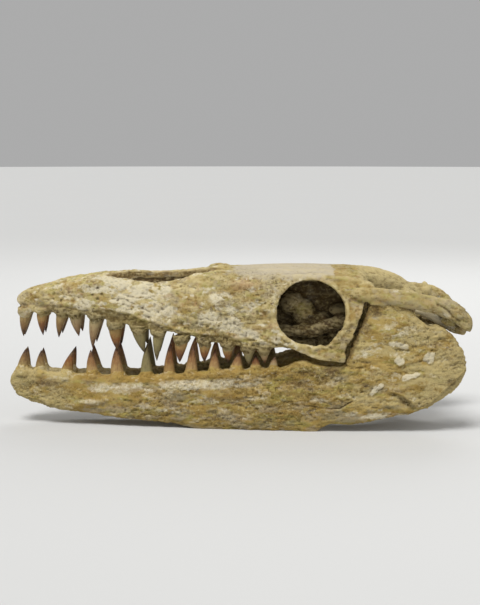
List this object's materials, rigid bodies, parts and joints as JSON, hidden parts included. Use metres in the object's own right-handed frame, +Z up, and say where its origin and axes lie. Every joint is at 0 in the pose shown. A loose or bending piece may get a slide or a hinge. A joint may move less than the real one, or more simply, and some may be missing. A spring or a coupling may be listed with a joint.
{
  "type": "fossil mosasaur skull",
  "caption": "Long, low marine-reptile skull with jaws slightly open, conical teeth in both rows, large eye openings, standing on its lower jaws.",
  "frame": {"origin": "centre of the skull's footprint box, on the surface that the lower jaws stand on", "axes": "-X towards the snout tip, -Y towards the animal's left side, +Z up"},
  "size_m": [0.5598, 0.1653, 0.1972],
  "materials": {
    "bone": "dry, chalky, cracked fossil bone",
    "tooth": "polished brown enamel"
  },
  "bodies": {
    "root": {"cranium": "bone", "left_lower_jaw": "bone", "right_lower_jaw": "bone", "left_upper_tooth_01": "tooth", "left_upper_tooth_02": "tooth", "left_upper_tooth_03": "tooth", "left_upper_tooth_04": "tooth", "left_upper_tooth_05": "tooth", "left_upper_tooth_06": "tooth", "left_upper_tooth_07": "tooth", "left_upper_tooth_08": "tooth", "left_upper_tooth_09": "tooth", "left_upper_tooth_10": "tooth", "left_upper_tooth_11": "tooth", "left_upper_tooth_12": "tooth", "left_upper_tooth_13": "tooth", "right_upper_tooth_01": "tooth", "right_upper_tooth_02": "tooth", "right_upper_tooth_03": "tooth", "right_upper_tooth_04": "tooth", "right_upper_tooth_05": "tooth", "right_upper_tooth_06": "tooth", "right_upper_tooth_07": "tooth", "right_upper_tooth_08": "tooth", "right_upper_tooth_09": "tooth", "right_upper_tooth_10": "tooth", "right_upper_tooth_11": "tooth", "right_upper_tooth_12": "tooth", "right_upper_tooth_13": "tooth", "left_lower_tooth_01": "tooth", "left_lower_tooth_02": "tooth", "left_lower_tooth_03": "tooth", "left_lower_tooth_04": "tooth", "left_lower_tooth_05": "tooth", "left_lower_tooth_06": "tooth", "left_lower_tooth_07": "tooth", "left_lower_tooth_08": "tooth", "left_lower_tooth_09": "tooth", "left_lower_tooth_10": "tooth", "left_lower_tooth_11": "tooth", "left_lower_tooth_12": "tooth", "right_lower_tooth_01": "tooth", "right_lower_tooth_02": "tooth", "right_lower_tooth_03": "tooth", "right_lower_tooth_04": "tooth", "right_lower_tooth_05": "tooth", "right_lower_tooth_06": "tooth", "right_lower_tooth_07": "tooth", "right_lower_tooth_08": "tooth", "right_lower_tooth_09": "tooth", "right_lower_tooth_10": "tooth", "right_lower_tooth_11": "tooth", "right_lower_tooth_12": "tooth"}
  },
  "joints": []
}
